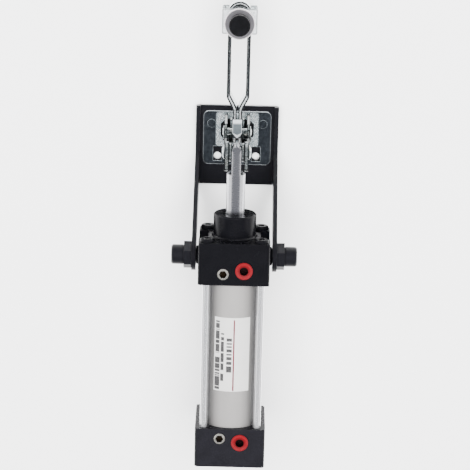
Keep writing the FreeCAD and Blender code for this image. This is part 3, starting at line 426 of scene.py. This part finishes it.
def printed_row(finish, across, along, rows, run, cell, fill, seed):
    """A row of plain printed dashes: rows and run are its spans across and along the tube.

    cell is the length of one dash, and fill the share of the cells that are printed.
    """
    column = finish.calc("FLOOR", finish.calc("DIVIDE", along, cell))
    where = {"W": finish.calc("ADD", column, seed)}
    chance = finish.node("ShaderNodeTexWhiteNoise", where, noise_dimensions="1D")
    dash = finish.calc("LESS_THAN", chance.outputs["Value"], fill)
    inside = finish.calc("MULTIPLY", in_span(finish, across, *rows), in_span(finish, along, *run))
    return finish.calc("MULTIPLY", dash, inside)


def printed_label():
    """Off-white film with a red rule, rows of plain dashes and a strip of bars, which spell nothing."""
    finish = Finish("printed_label", **{"Specular IOR Level": 0.4, "Coat Weight": 0.1, "Coat Roughness": 0.3})
    across, along = finish.axis(0), finish.axis(1)
    # Each row: spans across and along the tube, the length of a cell, the share printed, the seed.
    large = printed_row(finish, across, along, (-3.8, 0.0), (-152.5, -126.5), 1.15, 0.80, 3.0)
    small = printed_row(finish, across, along, (-7.8, -5.6), (-158.5, -123), 0.85, 0.86, 17.0)
    bars = printed_row(finish, across, along, (-11.8, -8.4), (-165, -141), 0.42, 0.82, 41.0)
    fine = printed_row(finish, across, along, (-11.5, -8.8), (-138, -113.5), 0.62, 0.9, 77.0)
    ink = large
    for more in (small, bars, fine):
        ink = finish.calc("MAXIMUM", ink, more)
    smudged = finish.calc("MULTIPLY", ink, finish.between(finish.noise(0.5, 3), 0.3, 0.6, 0.86, 0.98))
    rule_width, rule_run = (0.85, 1.85), (-165.5, -113)
    rule = finish.calc("MULTIPLY", in_span(finish, across, *rule_width), in_span(finish, along, *rule_run))
    film = finish.mixed(finish.noise(7, 4), (0.40, 0.395, 0.385), (0.47, 0.465, 0.455))
    ruled = finish.mixed(rule, film, (0.085, 0.001, 0.010))
    finish.color(smudged, ruled, (0.006, 0.006, 0.007))
    finish.roughness(finish.noise(5, 3), 0.34, 0.5)
    finish.bump(finish.noise(1.2, 3), 0.006)
    return finish.material


def floor_paper():
    """Pale seamless paper."""
    finish = Finish("floor_paper", **{"Specular IOR Level": 0.1, "Roughness": 0.9})
    finish.color(finish.noise(180, 3), (0.89, 0.89, 0.89), (0.92, 0.92, 0.92))
    finish.bump(finish.noise(1.5, 3), 0.02)
    return finish.material


# The finish of each slot.
FINISHES = {
    "black_steel": black_coat("black_powder_coat", (0.0036, 0.0036, 0.0047), 0.55, 0.34),
    "black_aluminium": black_coat("black_anodised", (0.0025, 0.0025, 0.0032), 0.30, 0.24, 0.6, 0.06),
    # The zinc sheet's third colour is its painted dark-reflection rim.
    "zinc_sheet": sheet_zinc("zinc_sheet_plating", (0.38, 0.405, 0.40), (0.055, 0.067, 0.070),
                             (0.016, 0.019, 0.020), 0.10, 1.3),
    "zinc_pins": pin_zinc(),
    "turned_steel": turned_steel("turned_collar", (0, SPINDLE_Y, 0), (0.78, 0.745, 0.765), 0.36, 0.5),
    "pad_rubber": rubber("pad_rubber_black", (0.0012, 0.0012, 0.0015), 0.55),
    "seal_rubber": rubber("seal_rubber_black", (0.004, 0.004, 0.004), 0.46),
    "barrel_aluminium": drawn_metal("satin_barrel", (0.235, 0.227, 0.22), (0.018, 0.018, 0.019),
                                    0.34, 0.46, 0.35, 0.72, 0.95),
    "chrome_rod": chrome(),
    "bronze": bronze(),
    "guide_plastic": moulded_plastic("guide_band", (0.26, 0.14, 0.07), 0.5),
    "label_film": printed_label(),
}

# CAD nodes with a finish of their own.
# The third colour given to each plating here is its painted dark-reflection rim.
ARM_ZINC = sheet_zinc("arm_plating", (0.86, 0.89, 0.90), (0.72, 0.76, 0.78), (0.022, 0.024, 0.026),
                      0.22, 2.6, 0.7, 0.988, leg_reflection_outlines)
WASHER_ZINC = sheet_zinc("washer_plating", (0.88, 0.91, 0.92), (0.72, 0.76, 0.78), (0.30, 0.32, 0.33),
                         0.24, 1.6, 0.5)
DARK_NUTS = plated_nuts()
NODE_FINISHES = {
    "base_flange": base_zinc("base_zinc", PLATFORM_FROM),
    "base_rivets": base_zinc("rivet_zinc", ABOVE_RIVETS),
    "arm_stop": stop_steel(),
    "arm": ARM_ZINC,
    "washer_upper": WASHER_ZINC,
    "washer_lower": WASHER_ZINC,
    "nut_upper": DARK_NUTS,
    "nut_lower": DARK_NUTS,
    # The rear cap's paler black is painted light: it stands for the stronger light falling on it.
    "rear_cap": black_coat("paler_lit_anodised", (0.0060, 0.0058, 0.0073), 0.30, 0.26, 0.6, 0.06),
    "tie_rods": drawn_metal("bright_tie_rods", (0.84, 0.84, 0.86), (0.050, 0.050, 0.054),
                            0.18, 0.28, 0.85, 0.71, 0.86),
}


def finish_screwed_in_pieces():
    """The plugs and needles are toned by the distance from their own axes."""
    for word in ("front", "rear"):
        for node, finish in ((f"port_plug_{word}", hollow_plug), (f"cushion_needle_{word}", needle_steel)):
            NODE_FINISHES[node] = finish(f"{node}_finish", middle_of(node))


def finish_cad_nodes():
    """Gives every CAD node the detailed material of its slot, or its own where it has one."""
    for name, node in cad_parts.items():
        for held in node.material_slots:
            held.material = NODE_FINISHES.get(name) or FINISHES[held.material.name]


def add_piece(name, points, faces, body, slot):
    """A mesh piece from points in millimetres, in its slot's finish, riding on a body."""
    mesh = bpy.data.meshes.new(name)
    mesh.from_pydata([Vector(p) * MM for p in points], [], faces)
    mesh.polygons.foreach_set("use_smooth", [True] * len(mesh.polygons))
    mesh.materials.append(FINISHES[slot])
    mesh.update()
    made = bpy.data.objects.new(name, mesh)
    bpy.context.scene.collection.objects.link(made)
    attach(made, body)
    return made


def grid_faces(rows, columns):
    """Quads over rows of points that each close on themselves."""
    quads = []
    for row in range(rows - 1):
        for column in range(columns):
            following = (column + 1) % columns
            here, above = row * columns, (row + 1) * columns
            quads.append((here + column, here + following, above + following, above + column))
    return quads


def add_turned_ring(name, profile, body, slot):
    """A ring about the cylinder's axis, from a closed outline of radii and Y places."""
    columns = 96
    points = []
    for radius, y in profile:
        for column in range(columns):
            angle = 2 * math.pi * column / columns
            points.append((radius * math.cos(angle), y, AXIS_HEIGHT + radius * math.sin(angle)))
    faces = []
    for row in range(len(profile)):
        here, beyond = row * columns, (row + 1) % len(profile) * columns
        for column in range(columns):
            following = (column + 1) % columns
            faces.append((here + column, beyond + column, beyond + following, here + following))
    return add_piece(name, points, faces, body, slot)


def add_gland_root():
    """The rounded root where the gland meets the head cap."""
    gap, round_radius, steps = 0.02, 1.08, 8
    inner = GLAND_RADIUS + gap
    outer = inner + round_radius
    face = HEAD_FACE + gap
    root = [(inner, face), (outer, face)]
    for step in range(1, steps + 1):
        angle = math.radians(270 - 90 * step / steps)
        out, along = round_radius * math.cos(angle), round_radius * math.sin(angle)
        root.append((outer + out, face + round_radius + along))
    add_turned_ring("gland_root", root, "cylinder", "black_aluminium")


def add_spindle_thread():
    """The spindle's screw, with a real thread cut along it and its lower end chamfered."""
    low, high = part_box("spindle_screw")
    bottom, top = low.z / MM, high.z / MM
    radius, pitch, depth, chamfer = 5.0, 1.5, 0.75, 1.0
    groove_slope, crest = 1.35, 0.12
    columns, steps = 48, 10
    rows = round((top - bottom) / pitch * steps) + 1
    points = []
    for row in range(rows):
        height = bottom + (top - bottom) * row / (rows - 1)
        chamfered = radius - max(0.0, chamfer - (height - bottom))
        for column in range(columns):
            turn = column / columns
            wave = (height / pitch - turn) % 1.0
            groove = min(1.0, max(0.0, groove_slope * (1 - abs(2 * wave - 1)) - crest))
            reach = min(chamfered, radius - depth * groove)
            angle = 2 * math.pi * turn
            points.append((reach * math.cos(angle), SPINDLE_Y + reach * math.sin(angle), height))
    faces = grid_faces(rows, columns)
    faces.append(tuple(reversed(range(columns))))
    faces.append(tuple(range((rows - 1) * columns, rows * columns)))
    screw = add_piece("spindle_thread", points, faces, "spindle", "zinc_pins")
    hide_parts("spindle_screw")


def add_floor():
    """A plain pale floor just under the object."""
    half, height = 4, cad_box[0].z - 0.2 * MM
    corners = [(-half, -half, height), (half, -half, height), (half, half, height), (-half, half, height)]
    mesh = bpy.data.meshes.new("floor")
    mesh.from_pydata(corners, [], [(0, 1, 2, 3)])
    mesh.materials.append(floor_paper())
    floor = bpy.data.objects.new("floor", mesh)
    bpy.context.scene.collection.objects.link(floor)


def add_softbox(name, place, aim, size, power, glints=True):
    """A large rectangular light at place, facing aim, which may be kept out of reflections."""
    lamp = bpy.data.lights.new(name, "AREA")
    lamp.shape = "RECTANGLE"
    lamp.size, lamp.size_y = size
    lamp.energy = power
    light = bpy.data.objects.new(name, lamp)
    light.location = place
    light.rotation_euler = (Vector(aim) - Vector(place)).to_track_quat("-Z", "Y").to_euler()
    light.visible_glossy = glints
    bpy.context.scene.collection.objects.link(light)


def add_studio():
    """Soft light from above and from both sides, in a pale room that is dark overhead."""
    middle = (0, -0.05, 0.05)
    add_softbox("top_softbox", (0.0, 0.1, 1.5), middle, (1.6, 1.6), 150, glints=False)
    add_softbox("left_softbox", (-1.2, -0.1, 0.55), middle, (2.0, 0.55), 5)
    add_softbox("right_softbox", (1.2, -0.1, 0.55), middle, (2.0, 0.55), 5)
    world = bpy.data.worlds.new("room")
    world.use_nodes = True
    tree = world.node_tree
    direction = tree.nodes.new("ShaderNodeTexCoord").outputs["Generated"]
    split = tree.nodes.new("ShaderNodeSeparateXYZ")
    tree.links.new(direction, split.inputs[0])
    ramp = tree.nodes.new("ShaderNodeValToRGB")
    ramp.color_ramp.interpolation = "EASE"
    pale_sides, dark_overhead = ramp.color_ramp.elements
    pale_sides.position, pale_sides.color = 0.34, (0.75, 0.75, 0.75, 1)
    dark_overhead.position, dark_overhead.color = 0.62, (0.22, 0.224, 0.24, 1)
    tree.links.new(split.outputs[2], ramp.inputs[0])
    background = tree.nodes["Background"]
    background.inputs["Strength"].default_value = 1.9
    tree.links.new(ramp.outputs[0], background.inputs["Color"])
    bpy.context.scene.world = world


def add_camera():
    """The viewing angle: from above, leaning towards the clamp and slightly rolled."""
    lens = bpy.data.cameras.new("camera")
    lens.sensor_width = 36
    lens.lens = CAMERA_LENS
    lens.clip_end = 50
    camera = bpy.data.objects.new("camera", lens)
    roll = Matrix.Rotation(CAMERA_ROLL, 3, "Z")
    lean = Matrix.Rotation(CAMERA_LEAN, 3, "X")
    outward = (roll @ lean).transposed()
    place = CAMERA_AIM + outward @ (Vector((0, 0, CAMERA_DISTANCE)) - CAMERA_SIDESTEP)
    camera.matrix_world = Matrix.LocRotScale(place, outward.to_quaternion(), None)
    bpy.context.scene.collection.objects.link(camera)
    bpy.context.scene.camera = camera


add_camera()
add_studio()
add_floor()
finish_screwed_in_pieces()
finish_cad_nodes()
add_gland_root()
add_spindle_thread()
